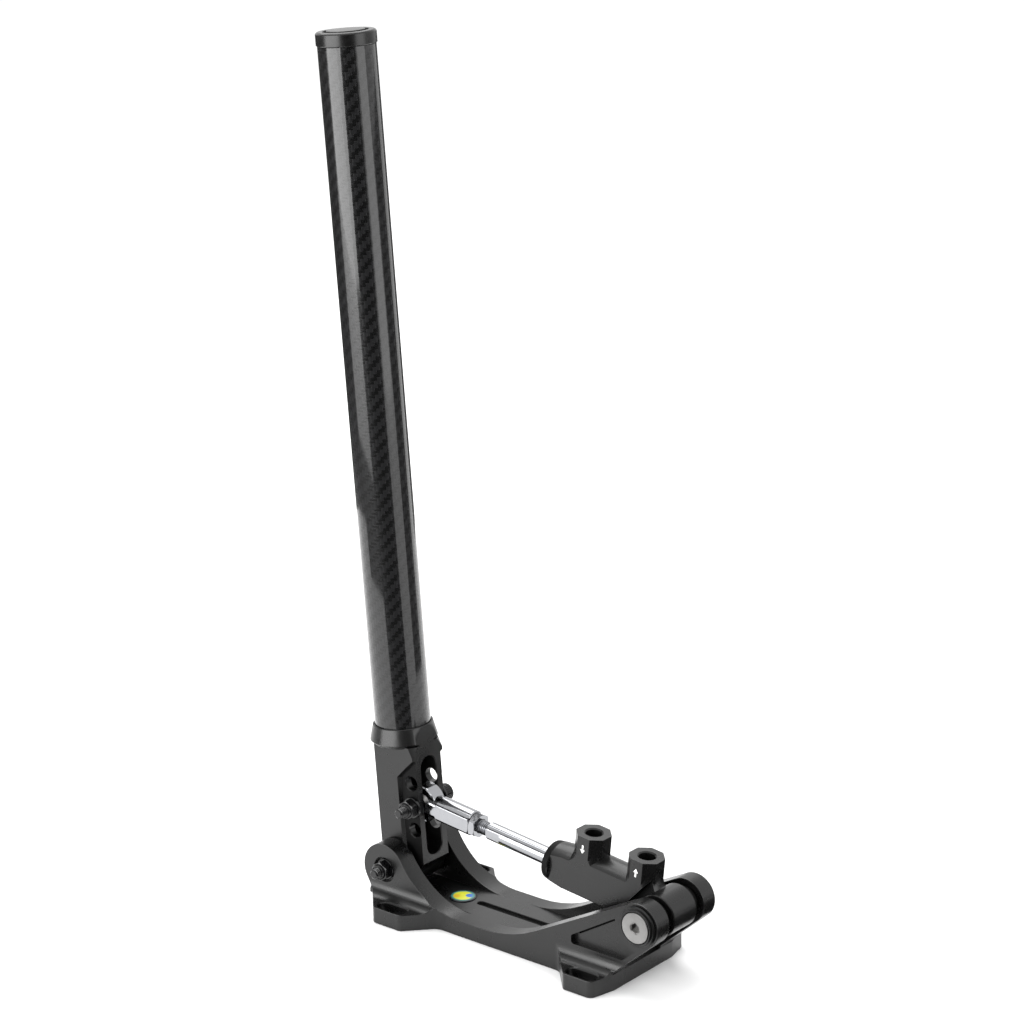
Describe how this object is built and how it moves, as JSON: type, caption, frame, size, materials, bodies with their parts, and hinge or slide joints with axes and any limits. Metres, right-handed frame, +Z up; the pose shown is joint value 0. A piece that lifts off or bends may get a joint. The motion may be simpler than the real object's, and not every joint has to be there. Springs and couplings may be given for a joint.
{
  "type": "hydraulic parking brake lever",
  "caption": "Upright hand brake lever with a carbon tube handle on a slotted base plate, pushing a pivoting hydraulic master cylinder through a rod end.",
  "frame": {"origin": "on the underside of the base plate, midway between its four slots", "axes": "+Z up out of the base, +X from the lever pivot to the cylinder pivot, Y across the base"},
  "size_m": [0.2445, 0.0832, 0.4966],
  "materials": {
    "anodised": "black anodised over milled and bead blasted faces",
    "carbon": "2x2 twill carbon fibre under a glossy clear coat",
    "zinc": "bright zinc plated, turned",
    "black_steel": "black oxide",
    "stainless": "ground",
    "acetal": "black, turned",
    "liner": "woven bearing liner",
    "rubber": "moulded",
    "badge": "blue and yellow enamel under a clear dome",
    "spring_steel": "drawn wire"
  },
  "bodies": {
    "base": {"base_frame": "anodised", "floor_badge": "badge", "lever_pivot_bolt": "black_steel", "lever_pivot_nut": "black_steel", "lever_pivot_washer_near": "black_steel", "lever_pivot_washer_far": "black_steel", "lever_pivot_sleeve": "stainless", "cylinder_pivot_pin": "stainless", "cylinder_pivot_screw_near": "zinc", "cylinder_pivot_screw_far": "zinc", "cylinder_pivot_cup_near": "acetal", "cylinder_pivot_cup_far": "acetal", "cylinder_spacer_near": "acetal", "cylinder_spacer_far": "acetal"},
    "lever": {"lever_fork": "anodised", "handle_tube": "carbon", "top_cap": "anodised", "cap_disc": "anodised", "lever_pivot_bush_near": "acetal", "lever_pivot_bush_far": "acetal", "rod_end_bolt": "black_steel", "rod_end_nut": "black_steel", "rod_end_washer_near": "black_steel", "rod_end_washer_far": "black_steel", "rod_end_bolt_sleeve_near": "stainless", "rod_end_bolt_sleeve_far": "stainless"},
    "rod_end_ball": {"rod_end_ball": "stainless"},
    "push_rod": {"rod_end_housing": "zinc", "rod_end_liner": "liner", "jam_nut": "zinc", "threaded_stud": "zinc", "pushrod": "zinc", "piston": "stainless", "primary_cup": "rubber", "secondary_cup": "rubber", "return_spring": "spring_steel"},
    "cylinder": {"cylinder_body": "anodised", "rod_wiper": "rubber", "snap_ring": "spring_steel", "stop_washer": "stainless", "barrel_bush_near": "liner", "barrel_bush_far": "liner"}
  },
  "joints": [
    {"name": "lever_pivot", "type": "hinge", "parent": "base", "child": "lever", "pos_m": [-0.083, 0, 0.0255], "axis": [0, 1, 0], "range_deg": [0, 25], "stiffness_Nm_per_rad": 2, "springref_deg": -14.32},
    {"name": "cylinder_tilt", "type": "hinge", "parent": "base", "child": "cylinder", "pos_m": [0.0985, 0, 0.0425], "axis": [0, 1, 0], "range_deg": [-2.5, 0.5]},
    {"name": "push_rod_slide", "type": "slide", "parent": "cylinder", "child": "push_rod", "axis": [0.994, 0, -0.1091], "range_m": [0, 0.0158], "deforming": ["return_spring"]},
    {"name": "rod_end_swivel", "type": "hinge", "parent": "push_rod", "child": "rod_end_ball", "pos_m": [-0.07293, 0, 0.06131], "axis": [0, 1, 0], "range_deg": [-0.5, 28]}
  ],
  "couplings": [
    {"joint": "cylinder_tilt", "follows": "lever_pivot", "ratio": -0.0786},
    {"joint": "push_rod_slide", "follows": "lever_pivot", "m_per_rad": 0.034731},
    {"joint": "rod_end_swivel", "follows": "lever_pivot", "ratio": 1.0786}
  ]
}
